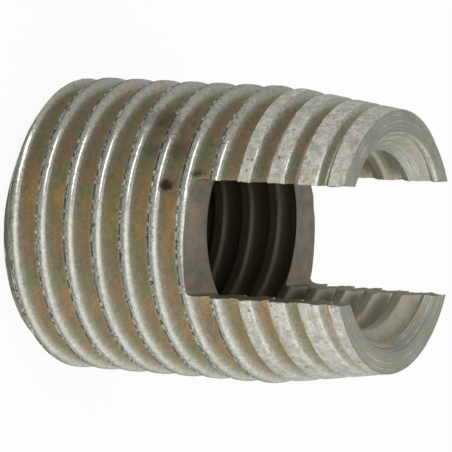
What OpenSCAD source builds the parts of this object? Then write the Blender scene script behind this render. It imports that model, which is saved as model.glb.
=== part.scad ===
// Slotted self-tapping threaded insert: a turned steel bush with a cutting
// thread outside, a machine-screw thread inside and a slot across one end
// whose corners cut the mating thread as the insert is driven in.
// It stands on its flat end at z = 0, with its axis along +Z and its slotted,
// tapered end up. The slot runs along X. All sizes are in millimetres.

/* [Body] */
// Diameter over the crests of the outer thread
outer_d = 14; // [13.2:0.1:16]
// Length from the flat end to the slotted end
body_l = 17.6; // [15:0.1:24]
// Height of the outer chamfer at the flat end
flat_chamfer_h = 0.85; // [0.2:0.05:1.5]
// Radius that the outer chamfer takes off at the flat end
flat_chamfer_in = 0.9; // [0.2:0.05:1.1]
// Length of the turned cone at the slotted end
taper_l = 5.9; // [2:0.1:9]
// Radius that the cone takes off at the slotted end
taper_in = 0.85; // [0.2:0.05:0.95]

/* [Outer thread] */
// Distance from one crest to the next
outer_pitch = 1.5; // [1.2:0.05:2]
// Depth of the groove below the crests
outer_depth = 1.1; // [0.6:0.05:1.2]
// Width of the flat crest at full diameter
outer_crest_w = 0.4; // [0.1:0.05:0.5]
// Width of the rounded floor of the groove
outer_root_w = 0.5; // [0.2:0.05:0.6]
// Rise of the groove's rounded floor from its middle to its sides
outer_root_rise = 0.12; // [0.04:0.02:0.2]
// Angle about the axis at which a crest meets the flat end
outer_start = 140; // [0:1:359]

/* [Inner thread] */
// Nominal diameter of the screw that fits inside
inner_d = 10; // [8:0.1:10.4]
// Pitch of the inner thread
inner_pitch = 1.5; // [1:0.05:1.75]
// Angle about the axis at which an inner groove meets the flat end
inner_start = 25; // [0:1:359]
// How much wider than the screw the countersinks are at the end faces
countersink_over = 0.4; // [0:0.05:0.8]
// Angle of the countersinks, from side to side
countersink_deg = 90; // [60:5:120]

/* [Slot] */
// Width of the slot across the end
slot_w = 5.4; // [2:0.1:7]
// Depth of the slot from the slotted end
slot_depth = 7.45; // [3:0.05:10]
// Radius of the slot's two bottom corners
slot_corner_r = 0.25; // [0.05:0.05:1]

/* [Hidden] */

// Facets of the turned surfaces and of one turn of a thread
turned_fn = 96;
thread_steps = 36;
// Thread points lie at whole degrees, so the turned surfaces start between two
seam_turn = 0.5;
// Overrun of a cut past the face that it breaks through
over = 1;

// Metric thread form: crest-to-crest height of the sharp triangle, the part of
// it that the inner thread is deep, and the widths of its flats, per pitch
sharp_h = sqrt(3)/2;
inner_depth = inner_pitch*sharp_h*5/8;
inner_minor_r = inner_d/2 - inner_depth;
inner_crest_w = inner_pitch/4;
inner_root_w = inner_pitch/8;
countersink_r = (inner_d + countersink_over)/2;
countersink_h = (countersink_r - inner_minor_r)/tan(countersink_deg/2);

// Half the width of a thread groove where it breaks through the wall
outer_mouth = (outer_pitch - outer_crest_w)/2;
inner_mouth = (inner_pitch - inner_crest_w)/2;

// Section of the outer groove as [radius, height]: flanks that run out past
// the crests by a quarter of the land, and a rounded floor between them
outer_floor_r = outer_d/2 - outer_depth;
outer_side_r = outer_floor_r + outer_root_rise;
outer_flank = (outer_mouth - outer_root_w/2)/(outer_d/2 - outer_side_r);
outer_out_r = outer_d/2 + outer_crest_w/4/outer_flank;
outer_out_z = outer_mouth + outer_crest_w/4;
outer_section = [
  [outer_out_r, -outer_out_z],
  [outer_side_r, -outer_root_w/2],
  [outer_floor_r + outer_root_rise/4, -outer_root_w/4],
  [outer_floor_r, 0],
  [outer_floor_r + outer_root_rise/4, outer_root_w/4],
  [outer_side_r, outer_root_w/2],
  [outer_out_r, outer_out_z]];

// Section of the inner groove: 60 degree flanks and a flat floor
inner_out_z = inner_mouth + inner_crest_w/4;
inner_out_r = inner_minor_r - inner_crest_w/4/tan(30);
inner_section = [
  [inner_out_r, -inner_out_z],
  [inner_out_r, inner_out_z],
  [inner_d/2, inner_root_w/2],
  [inner_d/2, -inner_root_w/2]];

// A groove section carried along a right-hand helix, with a ring of points at
// every step of a turn. It starts half a pitch below z = 0.
function ring(section, pitch, steps_up) =
  let (a = 360*steps_up/thread_steps, z = pitch*(steps_up/thread_steps - 0.5))
  [for (p = section) [p[0]*cos(a), p[0]*sin(a), z + p[1]]];
function side_faces(n, i) =
  [for (j = [0:n - 1])
    let (a = i*n + j, b = i*n + (j + 1)%n)
    each [[a, b + n, b], [a, a + n, b + n]]];

module helix(section, pitch) {
  n = len(section);
  steps = thread_steps*(ceil(body_l/pitch) + 1);
  polyhedron(
    points = [for (i = [0:steps]) each ring(section, pitch, i)],
    faces = [
      [for (j = [0:n - 1]) j],
      for (i = [0:steps - 1]) each side_faces(n, i),
      [for (j = [n - 1:-1:0]) steps*n + j]],
    convexity = 10);
}

module turned_blank() {
  r = outer_d/2;
  rotate_extrude($fn = turned_fn)
    polygon([
      [0, 0],
      [r - flat_chamfer_in, 0],
      [r, flat_chamfer_h],
      [r, body_l - taper_l],
      [r - taper_in, body_l],
      [0, body_l]]);
}

// Tapping bore with a countersink at each end
module bore() {
  translate([0, 0, -over])
    cylinder(r = inner_minor_r, h = body_l + 2*over, $fn = turned_fn);
  rotate_extrude($fn = turned_fn)
    polygon([
      [0, 0],
      [countersink_r, 0],
      [0, countersink_r/tan(countersink_deg/2)]]);
  rotate_extrude($fn = turned_fn)
    polygon([
      [0, body_l],
      [0, body_l - countersink_r/tan(countersink_deg/2)],
      [countersink_r, body_l]]);
}

// Milled slot with two rounded bottom corners
module slot() {
  floor_z = body_l - slot_depth;
  run = outer_d + 2*over;
  translate([-run/2, -slot_w/2, floor_z + slot_corner_r])
    cube([run, slot_w, slot_depth + over]);
  translate([-run/2, -slot_w/2 + slot_corner_r, floor_z])
    cube([run, slot_w - 2*slot_corner_r, slot_depth + over]);
  for (side = [-1, 1])
    translate([-run/2, side*(slot_w/2 - slot_corner_r), floor_z + slot_corner_r])
      rotate([0, 90, 0])
        cylinder(r = slot_corner_r, h = run, $fn = 24);
}

module insert() {
  color([0.60, 0.60, 0.55])
    difference() {
      rotate(seam_turn)
        turned_blank();
      // Half a pitch below z = 0 a helix has its crest there and its groove half a turn on
      rotate(outer_start)
        helix(outer_section, outer_pitch);
      rotate(inner_start + 180)
        helix(inner_section, inner_pitch);
      rotate(seam_turn)
        bore();
      slot();
    }
}

insert();
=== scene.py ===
"""Slotted self-tapping threaded insert in zinc-plated steel, on a pale stage.

The bush is swept, cut and marked in millimetres, and scaled to metres at the end.
It stands on its flat end at z = 0, slotted end up, with the slot along X.
"""

import math
from types import SimpleNamespace

import bpy
import numpy as np
from bpy.props import FloatProperty, FloatVectorProperty, IntProperty, PointerProperty
from mathutils import Matrix, Vector, noise


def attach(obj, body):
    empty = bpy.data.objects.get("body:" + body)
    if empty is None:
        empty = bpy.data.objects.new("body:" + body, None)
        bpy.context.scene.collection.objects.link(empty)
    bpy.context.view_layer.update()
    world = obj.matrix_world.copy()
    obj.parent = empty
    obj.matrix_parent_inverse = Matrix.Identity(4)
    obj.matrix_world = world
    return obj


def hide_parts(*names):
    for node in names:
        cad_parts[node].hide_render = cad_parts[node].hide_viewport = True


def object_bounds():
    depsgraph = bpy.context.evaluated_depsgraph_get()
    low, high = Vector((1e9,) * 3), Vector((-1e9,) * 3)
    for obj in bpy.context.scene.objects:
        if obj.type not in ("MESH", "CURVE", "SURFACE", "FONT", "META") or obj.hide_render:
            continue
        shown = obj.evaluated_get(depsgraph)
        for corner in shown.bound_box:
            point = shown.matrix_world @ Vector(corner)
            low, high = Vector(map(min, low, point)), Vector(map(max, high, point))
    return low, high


bl_info = {
    "name": "Threaded insert",
    "version": (1, 0, 0),
    "blender": (4, 5, 0),
    "location": "View3D > Sidebar > Insert",
    "description": "Models a slotted self-tapping threaded insert and its stage",
    "category": "Add Mesh",
}

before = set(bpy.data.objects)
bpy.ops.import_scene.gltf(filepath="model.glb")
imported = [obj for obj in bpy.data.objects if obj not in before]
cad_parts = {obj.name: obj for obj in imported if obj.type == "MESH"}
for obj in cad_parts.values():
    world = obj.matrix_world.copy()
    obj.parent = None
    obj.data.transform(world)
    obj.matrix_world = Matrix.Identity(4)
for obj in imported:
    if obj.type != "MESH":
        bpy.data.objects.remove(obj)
CAD_LOW, CAD_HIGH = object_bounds()
MM = 0.001

# Lengths below are in millimetres
CLEAR = 2  # how far the slot's cutter reaches past the end
TOUCH = 0.002  # how near a point is to a flat that it lies on
TURNED_FROM = 0.02  # how deep a crest is cut before it counts as a turned land
WANDER_SIZE = 0.6  # how long a bend in a land's edge is
SEAM_SIZE = 0.9  # how long a deeper stretch of the crest seam is
EDGE_HALVINGS = 24  # how often the search for a land's edge halves its step
LIP_DROP = 0.3  # how far a worn lip drops, as a share of its width
CORNER_STEPS = 6
FEWEST_FACES = 1000
SMOOTH_BELOW = 38  # degrees between faces that are shaded as one surface
BY_BLANK = 0.012  # how far under the turned blank the face of a land may lie
LAND_FROM = 0.06  # how deep the blank is turned where a land has its own finish
BY_CONE = 0.01  # how far outside the countersink's cone its faces may lie
CONE_FROM = 0.02  # how deep the countersink is where its faces have their own finish
BY_WALL = 0.05  # how far from the slot's wall its faces may lie
ROUND_BORE = 0.1  # how far outside the countersink the bore may still reach
ALONG_Z = 0.999  # a normal's share along Z on a face that lies across it
ALONG_Y = 0.97  # and its share along Y on a wall of the slot

# Size, seed and strength of each layer of noise in the slot's burrs
EDGE_BURR = ((0.35, 7, 0.7), (0.12, 8, 0.5))
RIM_BURR = ((0.8, 9, 1.0), (0.3, 10, 0.6))
RIM_WORN = 0.6  # how far the rim is worn back, as a share of the burr

# The columns of points from a land's lower edge to its crest line, as shares of that
# way, and which of them the crest seam follows, counted from the edge
CREST_COLUMNS = (1, 0.65, 0.45, 0.25)
SEAM_COLUMN = 3


# ---------------------------------------------------------------- settings

def linear(code):
    """An sRGB colour written as six hex digits, as linear red, green and blue."""
    shares = [int(code[i:i + 2], 16) / 255 for i in (0, 2, 4)]
    return [c / 12.92 if c <= 0.04045 else ((c + 0.055) / 1.055) ** 2.4 for c in shares]


def length(name, about, millimetres):
    """A length property with its default in millimetres."""
    return FloatProperty(name=name, description=about, default=millimetres * MM,
                         min=0.0, precision=5, subtype="DISTANCE", unit="LENGTH")


def turn(name, about, degrees):
    """An angle property with its default in degrees."""
    return FloatProperty(name=name, description=about, default=math.radians(degrees),
                         subtype="ANGLE", unit="ROTATION")


def colour(name, about, code):
    """A colour property with its default in hex."""
    return FloatVectorProperty(name=name, description=about, default=linear(code),
                               size=3, min=0.0, max=1.0, subtype="COLOR")


def brightness(name, about, level):
    """A light level property."""
    return FloatProperty(name=name, description=about, default=level, min=0.0)


class InsertSizes(bpy.types.PropertyGroup):
    """Sizes of the bush and its two threads."""
    outer_d: length("Outer diameter", "Diameter over the outer crests",
                    (CAD_HIGH.x - CAD_LOW.x) / MM)
    body_l: length("Length", "Length from the flat end to the slotted end",
                   (CAD_HIGH.z - CAD_LOW.z) / MM)
    flat_chamfer_h: length("Flat end chamfer height", "Height of the outer chamfer", 0.85)
    flat_chamfer_in: length("Flat end chamfer inset", "Radius the chamfer takes off", 0.9)
    taper_l: length("Cone length", "Length of the cone at the slotted end", 5.9)
    taper_in: length("Cone inset", "Radius the cone takes off at its end", 0.85)
    outer_pitch: length("Outer pitch", "From one outer crest to the next", 1.5)
    outer_depth: length("Outer depth", "Depth of the outer groove", 1.1)
    outer_crest_w: length("Crest width", "Width of an outer crest", 0.28)
    outer_start: turn("Outer start", "Where an outer crest meets the flat end", 140)
    inner_d: length("Screw diameter", "Nominal diameter of the screw inside", 10)
    inner_pitch: length("Inner pitch", "From one inner crest to the next", 1.5)
    inner_start: turn("Inner start", "Where an inner groove meets the flat end", 25)
    countersink_over: length("Countersink", "Countersink diameter over the screw's", 0.4)
    slot_w: length("Slot width", "Width of the slot", 5.4)
    slot_depth: length("Slot depth", "Depth of the slot from its end", 7.45)
    slot_corner_r: length("Slot corner", "Radius of the slot's bottom corners", 0.25)
    rolled_w: length("Rolled edge", "Width of the rolled upper edge of a crest", 0.11)
    rolled_slope: FloatProperty(name="Rolled slope", default=0.7, min=0.2, max=1.5,
                                description="Fall of the rolled edge for its width")
    flank_power: FloatProperty(name="Flank power", default=0.85, min=0.5, max=1.2,
                               description="Lower is a steeper flank by the crest")
    lip: length("Edge lip", "Width of the worn lip along a land's edge", 0.05)
    seam_depth: length("Crest seam depth", "Depth of the rolled seam", 0.06)
    wander: length("Edge wander", "How far land edges wander", 0.03)
    burr: length("Slot burr", "How far the slot's edges are burred", 0.07)
    outer_steps: IntProperty(name="Outer steps", description="Steps in one outer turn",
                             default=180, min=24)
    inner_steps: IntProperty(name="Inner steps", description="Steps in one inner turn",
                             default=120, min=24)


class InsertColours(bpy.types.PropertyGroup):
    """Colours of the plated and cut surfaces."""
    crest: colour("Crest", "Bare-looking zinc on the crests", "D6D5CC")
    root: colour("Root", "Dull olive passivation in the grooves", "B4AB91")
    gold: colour("Gold tint", "Golden bloom in the passivation", "D1B886")
    rose: colour("Rose tint", "Brownish rose bloom in the passivation", "C3A795")
    green: colour("Green tint", "Greenish bloom in the passivation", "A0B28C")
    land: colour("Turned land", "Pale zinc on the turned lands", "E8E6DC")
    land_rose: colour("Land rose tint", "Pinkish bloom on the lands", "D6C9BE")
    land_green: colour("Land green tint", "Greenish bloom on the lands", "C6CABC")
    end_face: colour("End face", "Grey-green turned end face", "A9ADA2")
    slot: colour("Slot faces", "Matte milled slot faces", "8A8877")
    bore: colour("Bore", "Zinc on the thread between the prongs", "B4B1A3")
    # Painted shade: the bore is darkened below the slot's floor, where little light reaches
    painted_bore_shade: colour("Deep bore", "Thin dull zinc deep in the bore", "6A6350")
    # Dark brown of the stains and pits, also used for the painted shade in the crest seams
    stain_pit_and_seam_shade: colour("Pits and stains", "Dark brown dirt in pits", "2B2116")
    floor: colour("Floor", "Pale floor", "B8B8B4")


class StageSettings(bpy.types.PropertyGroup):
    """Camera place and light levels."""
    azimuth: turn("Azimuth", "Camera's turn from +X towards +Y", -3.76)
    elevation: turn("Elevation", "Camera's height above the floor", 28.6)
    roll: turn("Roll", "Camera's roll from the bush's axis", 3.72)
    distance: length("Distance", "From the camera to the bush", 197.8)
    left: length("Left", "How far the camera stands to its left", 0.17)
    up: length("Up", "How far the camera stands above the bush's middle", 0.242)
    lens: FloatProperty(name="Lens", description="Focal length in millimetres",
                        default=332.7, unit="CAMERA")
    key: brightness("Key", "Radiance of the key panel", 2.5)
    front: brightness("Front", "Radiance of the front panel", 1.0)
    side: brightness("Side", "Radiance of the low side panel", 0.9)
    fill: brightness("Fill", "Radiance of the fill panel", 0.65)
    back: brightness("Back", "Radiance of the back panel", 0.7)
    top: brightness("Top", "Radiance of the top panel", 0.9)
    room: brightness("Room", "Radiance of the room", 0.44)


# ---------------------------------------------------------------- swept threads

def sizes_mm(settings):
    """The insert's sizes with every length in millimetres, as plain attributes."""
    made = SimpleNamespace()
    for name, prop in settings.bl_rna.properties.items():
        if prop.type not in ("FLOAT", "INT"):
            continue
        value = getattr(settings, name)
        setattr(made, name, value / MM if prop.unit == "LENGTH" else value)
    sharp_h = math.sqrt(3) / 2 * made.inner_pitch
    made.outer_r = made.outer_d / 2
    made.inner_depth = sharp_h * 5 / 8
    made.inner_minor_r = made.inner_d / 2 - made.inner_depth
    made.countersink_r = (made.inner_d + made.countersink_over) / 2
    made.floor_z = made.body_l - made.slot_depth
    return made


def turned_cut(s, z):
    """How deep the chamfer and the cone are turned into the blank at height z."""
    chamfer = s.flat_chamfer_in * np.clip(1 - z / s.flat_chamfer_h, 0, 1)
    cone = s.taper_in * np.clip((z - s.body_l + s.taper_l) / s.taper_l, 0, 1)
    return np.maximum(chamfer, cone)


def countersink_cut(s, z):
    """How deep the two countersinks are cut into the bore at height z."""
    deepest = s.countersink_r - s.inner_minor_r
    return np.clip(deepest - np.minimum(z, s.body_l - z), 0, deepest)


def outer_groove(s, u):
    """Depth of the outer groove at u from its crest: a flat crest, rolled over on
    its upper side, steep flanks and a round floor."""
    half = s.outer_pitch / 2
    edge = s.outer_crest_w / 2 + np.where(u > 0, s.rolled_w, 0)
    rolled = s.rolled_slope * np.clip(u - s.outer_crest_w / 2, 0, s.rolled_w)
    share = np.clip((np.abs(u) - edge) / (half - edge), 0, 1)
    return rolled + (s.outer_depth - rolled) * np.sin(
        share ** s.flank_power * math.pi / 2) ** 2


def inner_groove(s, u):
    """Depth of the inner groove at u from its crest: the metric form, rounded by
    the tap's wear and the plating."""
    edge = s.inner_pitch / 8
    flank = s.inner_pitch / 2 - edge * 1.2  # the rest is the groove's flat floor
    share = np.clip((np.abs(u) - edge) / flank, 0, 1)
    return s.inner_depth * np.sin(share * math.pi / 2) ** 2


def wandering(points, size, seed):
    """Smooth noise from -1 to 1 at each point, with features of that size."""
    away = Vector((seed * 17.3, seed * 5.1, seed * 9.7))
    return np.array([noise.noise(Vector(p) / size + away) for p in points])


def layered(points, layers):
    """The sum of layers of smooth noise, each with a size, a seed and a strength."""
    return sum(wandering(points, size, seed) * strength
               for size, seed, strength in layers)


def land_edge(groove, cut, z, side, narrow, half):
    """How far the land reaches from the crest, to where the groove cuts it."""
    near = np.full_like(z, narrow)
    far = np.full_like(z, half)
    for _ in range(EDGE_HALVINGS):
        middle = (near + far) / 2
        on_land = groove(middle) < cut(z + side * middle)
        near = np.where(on_land, middle, near)
        far = np.where(on_land, far, middle)
    return far


def sweep_thread(s, base, sign, pitch, start, steps, crest_w, groove, cut, flank_points,
                 shoulder, seam_depth):
    """A closed solid whose wall is a thread: points and faces, in millimetres.

    The crests lie at radius base. Grooves go inwards from there where sign is -1,
    and outwards where it is 1. Every ring is the section of one pitch, from groove
    to groove. A ring's last point is the first point of the ring one turn on.
    """
    turns = math.ceil(s.body_l / pitch) + 2
    rings = turns * steps
    index = np.arange(rings + 1)
    angle = index / steps * 2 * math.pi + start
    crest_z = (index / steps - 1) * pitch
    half = pitch / 2
    round_axis = np.stack([np.cos(angle) * base, np.sin(angle) * base, crest_z], 1)
    ragged = s.wander * wandering(round_axis, WANDER_SIZE, 1 + sign)
    low = land_edge(groove, cut, crest_z, -1, crest_w / 2, half)
    high = land_edge(groove, cut, crest_z, 1, crest_w / 2, half)
    low = np.minimum(low + ragged * (low < half - s.wander), half)
    high = np.minimum(high - ragged * (high < half - s.wander), half)
    low_s = np.maximum(low, shoulder)
    high_s = np.maximum(high, shoulder)

    shares = np.linspace(0, 1, flank_points + 1)[1:]
    columns = [-(low_s + (half - low_s) * f) for f in shares[::-1]]
    columns += [-low_s]
    columns += [-(low_s - s.lip) * f for f in CREST_COLUMNS]
    columns += [low_s * 0, (high_s - s.lip) * 0.5, high_s - s.lip, high_s]
    columns += [high_s + (half - high_s) * f for f in shares]
    u = np.stack(columns, 1)
    z = crest_z[:, None] + u
    depth = np.maximum(groove(u), cut(z))
    turned = cut(crest_z) > TURNED_FROM
    depth[:, flank_points] += s.lip * LIP_DROP * turned
    depth[:, len(columns) - 1 - flank_points] += s.lip * LIP_DROP * turned
    if seam_depth > 0:
        uncut = np.clip(1 - cut(crest_z) / seam_depth, 0, 1)
        depth[:, flank_points + SEAM_COLUMN] += uncut * seam_depth * (
            0.7 + 0.6 * wandering(round_axis, SEAM_SIZE, 4))
    radius = base + sign * depth
    points = np.stack([radius * np.cos(angle)[:, None],
                       radius * np.sin(angle)[:, None], z], 2)

    width = len(columns) - 1
    body = points[:, :width].reshape(-1, 3)
    last_turn = points[rings - steps + 1:, width]
    apexes = [[0, 0, crest_z[0] - pitch], [0, 0, crest_z[-1] + pitch]]
    every = np.concatenate([body, last_turn, apexes])
    bottom, top = len(every) - 2, len(every) - 1

    def place(i, j):
        if j < width:
            return i * width + j
        if i + steps <= rings:
            return (i + steps) * width
        return len(body) + i + steps - rings - 1

    faces = []
    for i in range(rings):
        for j in range(width):
            faces.append((place(i, j), place(i + 1, j),
                          place(i + 1, j + 1), place(i, j + 1)))
    for i in range(steps):
        faces.append((place(i + 1, 0), place(i, 0), bottom))
        faces.append((place(rings - steps + i, width),
                      place(rings - steps + i + 1, width), top))
    for j in range(width):
        faces.append((place(0, j), place(0, j + 1), bottom))
        faces.append((place(rings, j + 1), place(rings, j), top))
    return every, faces


def mesh_object(name, points, faces):
    """A new object from points and faces, linked to the scene."""
    mesh = bpy.data.meshes.new(name)
    mesh.from_pydata([tuple(p) for p in points], [], faces)
    mesh.update()
    made = bpy.data.objects.new(name, mesh)
    bpy.context.scene.collection.objects.link(made)
    return made


def prism(name, outline, low, high):
    """A solid from an outline of (y, z) points, drawn out along X."""
    count = len(outline)
    points = [(low, y, z) for y, z in outline] + [(high, y, z) for y, z in outline]
    faces = [tuple(reversed(range(count))), tuple(range(count, 2 * count))]
    for i in range(count):
        j = (i + 1) % count
        faces.append((i, j, count + j, count + i))
    return mesh_object(name, points, faces)


def slot_outline(s):
    """The slot's section, with two rounded bottom corners, as (y, z) points."""
    corner = []
    for k in range(CORNER_STEPS + 1):
        a = math.radians(90 * k / CORNER_STEPS)
        corner.append((s.slot_w / 2 - s.slot_corner_r * (1 - math.sin(a)),
                       s.floor_z + s.slot_corner_r * (1 - math.cos(a))))
    above = s.body_l + CLEAR
    right = corner + [(s.slot_w / 2, above)]
    left = [(-y, z) for y, z in reversed(right)]
    return right + left


def cut_solid(body, cuts):
    """The body's mesh after each (operation, tool) has been made, tools removed."""
    for operation, tool in cuts:
        step = body.modifiers.new(tool.name, "BOOLEAN")
        step.operation = operation
        step.solver = "MANIFOLD"
        step.object = tool
    seen = body.evaluated_get(bpy.context.evaluated_depsgraph_get())
    mesh = bpy.data.meshes.new_from_object(seen)
    body.modifiers.clear()
    body.data = mesh
    for _, tool in cuts:
        bpy.data.objects.remove(tool)
    if len(mesh.polygons) < FEWEST_FACES:
        raise RuntimeError("the bush lost its threads when it was cut")
    return mesh


# ---------------------------------------------------------------- marks on the mesh

def roughen_slot_edges(s, co):
    """Moves the slot's edge points a little, as the cutter's burr leaves them: the
    edges along the prongs first, then the outer rim of the slot's floor."""
    wall = np.abs(np.abs(co[:, 1]) - s.slot_w / 2) < TOUCH
    edge = wall & (co[:, 2] > s.floor_z + s.slot_corner_r)
    picked = co[edge]
    rough = layered(picked, EDGE_BURR)
    picked[:, 1] -= np.sign(picked[:, 1]) * rough * s.burr
    co[edge] = picked
    radius = np.hypot(co[:, 0], co[:, 1])
    rim = (np.abs(co[:, 2] - s.floor_z) < TOUCH) & (
        radius > s.countersink_r + ROUND_BORE)
    picked = co[rim]
    rough = layered(picked, RIM_BURR) - RIM_WORN
    picked[:, :2] *= 1 + (rough * s.burr / radius[rim])[:, None]
    co[rim] = picked


def crest_offset(s, co):
    """How far above the nearest outer crest each point lies, along the axis."""
    angle = np.arctan2(co[:, 1], co[:, 0]) - s.outer_start
    phase = co[:, 2] / s.outer_pitch - angle / (2 * math.pi)
    return (phase - np.round(phase)) * s.outer_pitch


def write_marks(s, mesh, co):
    """Stores how deep each point lies in its groove and how near it is to a crest."""
    radius = np.hypot(co[:, 0], co[:, 1])
    below = s.outer_r - turned_cut(s, co[:, 2]) - radius
    marks = {
        "groove_depth": np.clip(below / s.outer_depth, 0, 1),
        "crest_offset": crest_offset(s, co),
        "turned": turned_cut(s, co[:, 2]),
        # The angle round the bush, folded at the back so that it has no jump there
        "side": np.arctan2(co[:, 1], np.abs(co[:, 0])),
    }
    for name, values in marks.items():
        stored = mesh.attributes.new(name, "FLOAT", "POINT")
        stored.data.foreach_set("value", values.astype(np.float32))


THREAD, LAND, END, SLOT, BORE = range(5)


def sort_faces(s, mesh):
    """Gives each face the finish of how it was made, by where it lies."""
    count = len(mesh.polygons)
    centre = np.empty(count * 3, np.float32)
    normal = np.empty(count * 3, np.float32)
    mesh.polygons.foreach_get("center", centre)
    mesh.polygons.foreach_get("normal", normal)
    centre, normal = centre.reshape(-1, 3), normal.reshape(-1, 3)
    radius = np.hypot(centre[:, 0], centre[:, 1])
    z = centre[:, 2]
    finish = np.full(count, THREAD)
    below = s.outer_r - turned_cut(s, z) - radius
    finish[(below < BY_BLANK) & (turned_cut(s, z) > LAND_FROM)] = LAND
    inward = (centre[:, 0] * normal[:, 0] + centre[:, 1] * normal[:, 1]) < 0
    inside = inward & (radius < s.countersink_r + ROUND_BORE)
    finish[inside] = BORE
    sunk = countersink_cut(s, z)
    finish[inside & (sunk > CONE_FROM) & (
        radius < s.inner_minor_r + sunk + BY_CONE)] = END
    flat = np.abs(normal[:, 2]) > ALONG_Z
    finish[flat & ((z < TOUCH / 2) | (z > s.body_l - TOUCH / 2))] = END
    wall = (np.abs(normal[:, 1]) > ALONG_Y) & (
        np.abs(np.abs(centre[:, 1]) - s.slot_w / 2) < BY_WALL)
    corner = (np.abs(centre[:, 1]) <= s.slot_w / 2) & (
        np.abs(z - s.floor_z) < s.slot_corner_r) & (
        radius > s.inner_minor_r - BY_WALL) & (
        np.abs(normal[:, 0]) < 0.02) & (normal[:, 2] > 0.1)
    finish[(wall & (z > s.floor_z)) | corner] = SLOT
    mesh.polygons.foreach_set("material_index", finish.astype(np.int32))


# ---------------------------------------------------------------- materials

def add_node(tree, kind, inputs=None, **settings):
    """Adds one node with its settings, and gives each input a value or a link."""
    made = tree.nodes.new(kind)
    for name, value in settings.items():
        setattr(made, name, value)
    for key, value in (inputs or {}).items():
        if isinstance(value, bpy.types.NodeSocket):
            tree.links.new(value, made.inputs[key])
        else:
            made.inputs[key].default_value = value
    return made


def rgba(value):
    """A linear colour with full alpha."""
    return (*value, 1.0)


def per_mm(millimetres):
    """The texture scale that makes a pattern's features about that wide."""
    return 1 / (millimetres * MM)


def noise_field(tree, vector, millimetres, detail=3.0, roughness=0.55):
    """Fractal noise with features of that size, from 0 to 1."""
    return add_node(tree, "ShaderNodeTexNoise", {
        "Vector": vector, "Scale": per_mm(millimetres),
        "Detail": detail, "Roughness": roughness}).outputs["Fac"]


def spread(tree, value, low, high, to_low=0.0, to_high=1.0):
    """Stretches the range low to high over to_low to to_high, and clips it."""
    return add_node(tree, "ShaderNodeMapRange", {
        "Value": value, "From Min": low, "From Max": high,
        "To Min": to_low, "To Max": to_high}).outputs["Result"]


def blend_colour(tree, share, first, second):
    """First colour where share is 0, second where it is 1."""
    mixed = add_node(tree, "ShaderNodeMix", data_type="RGBA")
    for key, value in (("Factor", share), ("A", first), ("B", second)):
        socket = next(i for i in mixed.inputs if i.name == key and i.enabled)
        if isinstance(value, bpy.types.NodeSocket):
            tree.links.new(value, socket)
        else:
            socket.default_value = value
    return next(o for o in mixed.outputs if o.enabled)


def arithmetic(tree, operation, first, second):
    """One sum of two values or sockets."""
    return add_node(tree, "ShaderNodeMath", {0: first, 1: second},
                    operation=operation).outputs["Value"]


def times(tree, first, second):
    """The product of two values or sockets."""
    return arithmetic(tree, "MULTIPLY", first, second)


def larger(tree, first, second):
    """The larger of two values or sockets."""
    return arithmetic(tree, "MAXIMUM", first, second)


def away_from(tree, value, level):
    """How far the value is from a level, either way."""
    return arithmetic(tree, "ABSOLUTE", arithmetic(tree, "SUBTRACT", value, level), 0.0)


def vary(tree, field, low, high):
    """From low to high over the middle of a noise field, where most of it lies."""
    return spread(tree, field, 0.3, 0.7, low, high)


def shade(tree, base, value):
    """The colour made lighter or darker, 1 for no change."""
    return add_node(tree, "ShaderNodeHueSaturation", {
        "Color": base, "Value": value}).outputs["Color"]


def mottled(tree, base, where, millimetres, dark, light, detail=5.0):
    """The colour with fine blotches that size, and the blotches themselves."""
    blotches = noise_field(tree, where, millimetres, detail, 0.7)
    return shade(tree, base, vary(tree, blotches, dark, light)), blotches


def mark(tree, name):
    """A value stored on the mesh."""
    return add_node(tree, "ShaderNodeAttribute", attribute_name=name).outputs["Fac"]


def stretched(tree, where, x, y, z):
    """Coordinates for a pattern that is drawn out along each axis by 1 / scale."""
    return add_node(tree, "ShaderNodeMapping", {
        "Vector": where, "Scale": (x, y, z)}).outputs["Vector"]


def drawn_round(tree, where, stretch):
    """Coordinates that draw a pattern out round the axis, across the tool's feed."""
    return stretched(tree, where, 1.0, 1.0, stretch)


def pits(tree, where, millimetres, share):
    """Small round pits, 1 inside a pit: that share of cells about that wide."""
    cells = add_node(tree, "ShaderNodeTexVoronoi", {
        "Vector": where, "Scale": per_mm(millimetres), "Randomness": 1.0})
    chance = add_node(tree, "ShaderNodeSeparateColor",
                      {"Color": cells.outputs["Color"]}).outputs["Red"]
    chosen = arithmetic(tree, "LESS_THAN", chance, share)
    near = spread(tree, cells.outputs["Distance"], 0.22, 0.34, 1.0, 0.0)
    return times(tree, chosen, near)


def start_metal(name):
    """A material, its node tree and its object coordinates."""
    material = bpy.data.materials.new(name)
    material.use_nodes = True
    tree = material.node_tree
    return material, tree, add_node(tree, "ShaderNodeTexCoord").outputs["Object"]


def finish_metal(tree, base, rough, metallic, heights):
    """Joins colour, roughness, metal and a stack of (height, millimetres) bumps.
    Plating that is partly oxide is less than fully metallic."""
    shader = tree.nodes["Principled BSDF"]
    tree.links.new(base, shader.inputs["Base Color"])
    tree.links.new(rough, shader.inputs["Roughness"])
    if isinstance(metallic, bpy.types.NodeSocket):
        tree.links.new(metallic, shader.inputs["Metallic"])
    else:
        shader.inputs["Metallic"].default_value = metallic
    normal = None
    for height, millimetres in heights:
        inputs = {"Height": height, "Distance": millimetres * MM}
        if normal is not None:
            inputs["Normal"] = normal
        normal = add_node(tree, "ShaderNodeBump", inputs).outputs["Normal"]
    tree.links.new(normal, shader.inputs["Normal"])


# Centre x, y, z and radius in millimetres, and strength, of each stain on the thread
STAINS = ((6.3, -2.35, 8.72, 0.26, 0.85), (6.0, -2.96, 10.28, 0.17, 0.6),
          (4.06, -5.33, 7.12, 0.5, 0.35), (4.56, -4.91, 8.01, 0.7, 0.4),
          (5.2, -4.3, 8.1, 0.5, 0.3), (5.42, -3.94, 8.8, 0.5, 0.3),
          (5.47, -3.88, 7.44, 0.4, 0.25))
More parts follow.
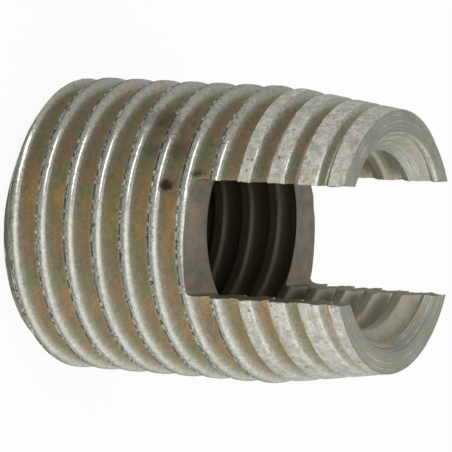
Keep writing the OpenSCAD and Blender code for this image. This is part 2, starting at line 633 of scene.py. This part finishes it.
# Depth into the wall counts for little, so a stain reaches down into a groove
STAIN_X_WEIGHT = 0.25


def stained(tree, where):
    """How strongly the stains darken each place, with ragged edges."""
    ragged = noise_field(tree, where, 0.25, 5.0, 0.7)
    level = stretched(tree, where, STAIN_X_WEIGHT, 1.0, 1.0)
    darkest = 0.0
    for x, y, z, radius, strength in STAINS:
        away = add_node(tree, "ShaderNodeVectorMath", {
            0: level, 1: (x * STAIN_X_WEIGHT * MM, y * MM, z * MM)},
            operation="DISTANCE").outputs["Value"]
        edge = vary(tree, ragged, radius * 0.45 * MM, radius * 1.6 * MM)
        share = arithmetic(tree, "DIVIDE", away, edge)
        darkest = larger(tree, darkest, spread(tree, share, 0.6, 1.15, strength, 0.0))
    return darkest


def passivation(tree, c, where, depth, side):
    """An olive film with rose and green bloom. It turns golden deep in the grooves,
    in a row of patches along the front and down the lower side."""
    streaks = drawn_round(tree, where, 1.6)
    rosy = noise_field(tree, streaks, 1.5, 5.0, 0.65)
    greenish = noise_field(tree, streaks, 1.1, 5.0, 0.65)
    golden = noise_field(tree, streaks, 1.9, 4.0, 0.6)
    film = blend_colour(tree, spread(tree, rosy, 0.45, 0.58), rgba(c.root), rgba(c.rose))
    film = blend_colour(tree, spread(tree, greenish, 0.5, 0.6), film, rgba(c.green))
    front = spread(tree, away_from(tree, side, -0.15), 0.1, 0.45, 1.0, 0.0)
    lower = spread(tree, side, 0.2, 0.6, 0.0, 0.8)
    share = times(tree, larger(tree, front, lower),
                  spread(tree, golden, 0.4, 0.56, 1.0, 0.15))
    share = times(tree, share, spread(tree, depth, 0.15, 0.6))
    return blend_colour(tree, share, film, rgba(c.gold))


def seam_shade_and_pits(tree, where, offset, turned):
    """Where the crest is darkened: painted shade in the two broken lines of a rolled
    crest's seam, and dark pits, most of them by the crest. Offsets are millimetres above
    the crest's middle."""
    from_seam = away_from(tree, offset, -0.1)
    from_second = away_from(tree, offset, 0.03)
    broken = noise_field(tree, drawn_round(tree, where, 0.4), 0.25, 4.0)
    seam = times(tree, spread(tree, from_seam, 0.03, 0.08, 1.0, 0.0),
                 spread(tree, broken, 0.42, 0.52))
    second = times(tree, spread(tree, from_second, 0.015, 0.05, 0.7, 0.0),
                   spread(tree, broken, 0.56, 0.46))
    rolled = spread(tree, turned, 0.02, 0.1, 1.0, 0.0)
    seam = times(tree, larger(tree, seam, second), rolled)
    dots = larger(tree, pits(tree, where, 0.33, 0.18), pits(tree, where, 0.17, 0.16))
    dots = times(tree, dots, spread(tree, from_seam, 0.1, 0.32, 1.0, 0.2))
    return larger(tree, seam, dots)


def rolled_zinc(c):
    """Rolled steel thread, zinc plated and passivated: satin olive grey with rose,
    green and golden bloom, dull in the grooves, rubbed bright and pitted on the
    crests, with painted shade in the crest seams and painted light on the groove
    floors."""
    material, tree, where = start_metal("rolled_zinc_thread")
    depth, side = mark(tree, "groove_depth"), mark(tree, "side")
    film = passivation(tree, c, where, depth, side)
    fleck = noise_field(tree, where, 0.22, 5.0, 0.7)
    worn = blend_colour(tree, spread(tree, fleck, 0.46, 0.6), rgba(c.crest),
                        rgba(c.land_green))
    base = blend_colour(tree, spread(tree, depth, 0.05, 0.45, 1.0, 0.0), film, worn)
    base, mottle = mottled(tree, base, where, 0.3, 0.84, 1.12)
    # Painted light: the floors of the grooves are made up to a fifth lighter, against their
    # shade
    base = shade(tree, base, spread(tree, depth, 0.55, 0.9, 1.0, 1.2))
    base, _ = mottled(tree, base, where, 0.12, 0.8, 1.2, detail=4.0)
    # Painted shade along the crest seam's crease, and dark pits, in the stain colour
    dark = seam_shade_and_pits(tree, where, mark(tree, "crest_offset"), mark(tree, "turned"))
    base = blend_colour(tree, times(tree, dark, 0.75), base, rgba(c.stain_pit_and_seam_shade))
    base = blend_colour(tree, stained(tree, where), base, rgba(c.stain_pit_and_seam_shade))

    # The film lies thick in the grooves and on the lower side: rough, and part oxide
    duller = spread(tree, side, -0.4, 0.6)
    metallic = arithmetic(tree, "SUBTRACT", spread(tree, depth, 0.05, 0.6, 0.95, 0.62),
                          times(tree, duller, 0.24))
    rough = spread(tree, depth, 0.0, 0.5, 0.17, 0.42)
    rough = arithmetic(tree, "ADD", rough, vary(tree, mottle, -0.04, 0.06))
    rough = arithmetic(tree, "ADD", rough, times(tree, duller, 0.32))
    grain = noise_field(tree, where, 0.11, 4.0)
    scratches = noise_field(tree, drawn_round(tree, where, 10.0), 1.2, 4.0)
    finish_metal(tree, base, rough, metallic, [
        (grain, 0.003), (mottle, 0.006), (scratches, 0.006),
        (arithmetic(tree, "SUBTRACT", 1.0, dark), 0.02)])
    return material


def turned_zinc(c):
    """Turned steel, zinc plated: pale satin, faintly blotched rose and green, grained
    by the tool and pitted."""
    material, tree, where = start_metal("turned_zinc_land")
    rosy = noise_field(tree, drawn_round(tree, where, 1.5), 0.6, 5.0, 0.65)
    greenish = noise_field(tree, where, 0.45, 5.0, 0.65)
    base = blend_colour(tree, spread(tree, rosy, 0.48, 0.62), rgba(c.land),
                        rgba(c.land_rose))
    base = blend_colour(tree, spread(tree, greenish, 0.5, 0.62), base, rgba(c.land_green))
    base, mottle = mottled(tree, base, where, 0.2, 0.74, 1.18)
    dark = larger(tree, pits(tree, where, 0.3, 0.1), pits(tree, where, 0.15, 0.14))
    base = blend_colour(tree, times(tree, dark, 0.5), base, rgba(c.stain_pit_and_seam_shade))
    lines = noise_field(tree, drawn_round(tree, where, 14.0), 1.4, 4.0)
    grain = noise_field(tree, where, 0.13, 4.0)
    finish_metal(tree, base, vary(tree, mottle, 0.32, 0.5), 0.5,
                 [(lines, 0.02), (grain, 0.026)])
    return material


def faced_zinc(c):
    """Steel faced on a lathe and plated: matte grey-green, with rings of tool feed."""
    material, tree, where = start_metal("faced_zinc_end")
    radius = add_node(tree, "ShaderNodeVectorMath", {
        0: add_node(tree, "ShaderNodeVectorMath", {0: where, 1: (1.0, 1.0, 0.0)},
                    operation="MULTIPLY").outputs["Vector"]},
        operation="LENGTH").outputs["Value"]
    # Rings about 0.07 mm wide, each with a strength of its own
    ring = add_node(tree, "ShaderNodeTexNoise", {
        "W": times(tree, radius, per_mm(0.07)), "Scale": 1.0,
        "Detail": 3.0}, noise_dimensions="1D").outputs["Fac"]
    blotch = noise_field(tree, where, 0.9, 5.0, 0.6)
    base = blend_colour(tree, spread(tree, blotch, 0.4, 0.62, 0.0, 0.5),
                        rgba(c.end_face), rgba(c.root))
    arcs = times(tree, spread(tree, ring, 0.5, 0.62),
                 spread(tree, noise_field(tree, where, 1.3, 2.0), 0.4, 0.65))
    base = blend_colour(tree, times(tree, arcs, 0.8), base, rgba(c.land))
    base, mottle = mottled(tree, base, where, 0.2, 0.86, 1.12)
    finish_metal(tree, base, vary(tree, blotch, 0.42, 0.58), 0.88,
                 [(ring, 0.035), (mottle, 0.016)])
    return material


def milled_zinc(c):
    """Milled steel, plated: matte grey with straight cutter lines along the slot."""
    material, tree, where = start_metal("milled_zinc_slot")
    lines = noise_field(tree, stretched(tree, where, 0.15, 1.0, 1.0), 0.15, 3.0)
    blotch = noise_field(tree, where, 0.9, 4.0)
    base = blend_colour(tree, spread(tree, blotch, 0.4, 0.65, 0.0, 0.5),
                        rgba(c.slot), rgba(c.rose))
    base, mottle = mottled(tree, base, where, 0.2, 0.84, 1.14)
    finish_metal(tree, base, vary(tree, blotch, 0.42, 0.56), 0.8,
                 [(lines, 0.015), (mottle, 0.018)])
    return material


def tapped_zinc(c, floor_z):
    """Tapped bore, zinc plated: satin with fine tap lines between the prongs, and painted
    shade further down, below the slot's floor, where little light reaches."""
    material, tree, where = start_metal("tapped_zinc_bore")
    height = add_node(tree, "ShaderNodeSeparateXYZ", {"Vector": where}).outputs["Z"]
    blotch = noise_field(tree, drawn_round(tree, where, 2.0), 1.1, 4.0)
    base = blend_colour(tree, spread(tree, blotch, 0.42, 0.65), rgba(c.bore), rgba(c.root))
    # Painted shade: the bore darkens from just under the slot's floor downwards
    above_painted_shade = spread(tree, height, (floor_z - 0.6) * MM, (floor_z + 2.5) * MM)
    base = blend_colour(tree, above_painted_shade, rgba(c.painted_bore_shade), base)
    base, mottle = mottled(tree, base, drawn_round(tree, where, 1.6), 0.22, 0.82, 1.14)
    lines = noise_field(tree, drawn_round(tree, where, 16.0), 1.3, 3.0)
    finish_metal(tree, base, vary(tree, mottle, 0.42, 0.56), 0.55,
                 [(lines, 0.02), (mottle, 0.012)])
    return material


# ---------------------------------------------------------------- operators

class INSERT_OT_model_bush(bpy.types.Operator):
    """Sweeps both threads, cuts the bore and the slot, and plates the bush"""
    bl_idname = "insert.model_bush"
    bl_label = "Model the insert"

    def execute(self, context):
        s = sizes_mm(context.scene.insert_sizes)
        outer = sweep_thread(
            s, s.outer_r, -1, s.outer_pitch, s.outer_start, s.outer_steps,
            s.outer_crest_w, lambda u: outer_groove(s, u), lambda z: turned_cut(s, z),
            flank_points=8, shoulder=0.2, seam_depth=s.seam_depth)
        inner = sweep_thread(
            s, s.inner_minor_r, 1, s.inner_pitch, s.inner_start + math.pi, s.inner_steps,
            s.inner_pitch / 4, lambda u: inner_groove(s, u),
            lambda z: countersink_cut(s, z),
            flank_points=7, shoulder=s.inner_pitch / 8, seam_depth=0.0)
        bush = mesh_object("threaded_insert", *outer)
        reach = s.outer_d
        slab = prism("ends", [(-reach, 0), (reach, 0), (reach, s.body_l),
                              (-reach, s.body_l)], -reach, reach)
        mesh = cut_solid(bush, [
            ("INTERSECT", slab),
            ("DIFFERENCE", mesh_object("bore", *inner)),
            ("DIFFERENCE", prism("slot", slot_outline(s), -reach, reach))])
        co = np.empty(len(mesh.vertices) * 3, np.float32)
        mesh.vertices.foreach_get("co", co)
        co = co.reshape(-1, 3)
        c = context.scene.insert_colours
        mesh.materials.clear()
        # In the order of THREAD, LAND, END, SLOT and BORE
        for finish in (rolled_zinc(c), turned_zinc(c), faced_zinc(c), milled_zinc(c),
                       tapped_zinc(c, s.floor_z)):
            mesh.materials.append(finish)
        sort_faces(s, mesh)
        write_marks(s, mesh, co)
        roughen_slot_edges(s, co)
        mesh.vertices.foreach_set("co", (co * MM).ravel())
        mesh.update()
        mesh.polygons.foreach_set("use_smooth", [True] * len(mesh.polygons))
        mesh.set_sharp_from_angle(angle=math.radians(SMOOTH_BELOW))
        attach(bush, "root")
        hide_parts("insert")
        return {"FINISHED"}


# Which way each soft panel lies from the bush, and its height in metres
PANELS = {"key": ((0.78, -1, 0.76), 0.1), "front": ((1, 0.2, 0.9), 0.24),
          "side": ((0.1, 1, 0.3), 0.24), "fill": ((0.8, 1, 0.5), 0.24),
          "back": ((-0.6, 1, 0.8), 0.24), "top": ((0, 0, 1), 0.24)}
PANEL_WIDTH = 0.24
PANEL_AWAY = 0.32
FLOOR_REACH = 0.6
# The camera sees the floor as paper lit to white, with this share of its own shading
FLOOR_SHADING = 0.12
FLOOR_GLOW = 1.06


def panel_light(name, direction, height, radiance, centre):
    """A flat soft light that faces the bush."""
    data = bpy.data.lights.new(name, "AREA")
    data.shape = "RECTANGLE"
    data.size, data.size_y = PANEL_WIDTH, height
    data.energy = radiance * math.pi * PANEL_WIDTH * height
    lamp = bpy.data.objects.new(name, data)
    bpy.context.scene.collection.objects.link(lamp)
    away = Vector(direction).normalized()
    lamp.location = centre + away * PANEL_AWAY
    lamp.rotation_mode = "QUATERNION"
    lamp.rotation_quaternion = away.to_track_quat("Z", "Y")


def floor_material(c):
    """Matte pale paper: it shows white, and keeps a faint shadow."""
    material = bpy.data.materials.new("matte_paper_floor")
    material.use_nodes = True
    tree = material.node_tree
    shader = tree.nodes["Principled BSDF"]
    shader.inputs["Base Color"].default_value = rgba(c.floor)
    shader.inputs["Roughness"].default_value = 0.9
    seen = add_node(tree, "ShaderNodeLightPath").outputs["Is Camera Ray"]
    glow = add_node(tree, "ShaderNodeEmission", {
        "Color": (1, 1, 1, 1), "Strength": FLOOR_GLOW})
    mixed = add_node(tree, "ShaderNodeMixShader", {
        0: times(tree, seen, 1 - FLOOR_SHADING),
        1: shader.outputs["BSDF"], 2: glow.outputs["Emission"]})
    tree.links.new(mixed.outputs["Shader"], tree.nodes["Material Output"].inputs["Surface"])
    return material


def studio_world(room):
    """A plain grey room that shows white behind the bush."""
    world = bpy.data.worlds.new("studio_room")
    bpy.context.scene.world = world
    world.use_nodes = True
    tree = world.node_tree
    seen = add_node(tree, "ShaderNodeLightPath").outputs["Is Camera Ray"]
    level = blend_colour(tree, seen, (room, room, room, 1.0), (1.0, 1.0, 1.0, 1.0))
    tree.links.new(level, tree.nodes["Background"].inputs["Color"])


class INSERT_OT_build_stage(bpy.types.Operator):
    """Sets the camera, the soft panels, the floor and the room"""
    bl_idname = "insert.build_stage"
    bl_label = "Build the stage"

    def execute(self, context):
        st = context.scene.insert_stage
        centre = (CAD_LOW + CAD_HIGH) / 2
        back = Vector((math.cos(st.elevation) * math.cos(st.azimuth),
                       math.cos(st.elevation) * math.sin(st.azimuth),
                       math.sin(st.elevation)))
        axis = Vector((0, 0, 1))
        flat_right = (axis - back * axis.dot(back)).normalized()
        flat_up = back.cross(flat_right)
        right = flat_right * math.cos(st.roll) + flat_up * math.sin(st.roll)
        up = back.cross(right)
        data = bpy.data.cameras.new("camera")
        data.lens = st.lens
        data.clip_start, data.clip_end = 0.01, 10
        camera = bpy.data.objects.new("camera", data)
        context.scene.collection.objects.link(camera)
        turned = Matrix((right, up, back)).transposed()
        place = centre + back * st.distance - right * st.left + up * st.up
        camera.matrix_world = Matrix.Translation(place) @ turned.to_4x4()
        context.scene.camera = camera

        for name, (direction, height) in PANELS.items():
            panel_light(name + "_panel", direction, height, getattr(st, name), centre)

        far = FLOOR_REACH
        floor = mesh_object("floor", [(-far, -far, 0), (far, -far, 0),
                                      (far, far, 0), (-far, far, 0)], [(0, 1, 2, 3)])
        floor.data.materials.append(floor_material(context.scene.insert_colours))
        studio_world(st.room)
        context.scene.view_settings.view_transform = "Standard"
        return {"FINISHED"}


class INSERT_PT_tools(bpy.types.Panel):
    """Lists the steps that build the insert"""
    bl_label = "Threaded insert"
    bl_idname = "INSERT_PT_tools"
    bl_space_type = "VIEW_3D"
    bl_region_type = "UI"
    bl_category = "Insert"

    def draw(self, context):
        for step in STEPS:
            self.layout.operator(step.bl_idname)


STEPS = (INSERT_OT_model_bush, INSERT_OT_build_stage)
GROUPS = {"insert_sizes": InsertSizes, "insert_colours": InsertColours,
          "insert_stage": StageSettings}


def register():
    """Adds the operators, the panel and the settings to Blender."""
    for kind in (*GROUPS.values(), *STEPS, INSERT_PT_tools):
        bpy.utils.register_class(kind)
    for name, group in GROUPS.items():
        setattr(bpy.types.Scene, name, PointerProperty(type=group))


def unregister():
    """Takes them all out again."""
    for name in GROUPS:
        delattr(bpy.types.Scene, name)
    for kind in (INSERT_PT_tools, *STEPS, *GROUPS.values()):
        bpy.utils.unregister_class(kind)


def main():
    register()
    bpy.ops.insert.model_bush()
    bpy.ops.insert.build_stage()


if __name__ == "__main__":
    main()
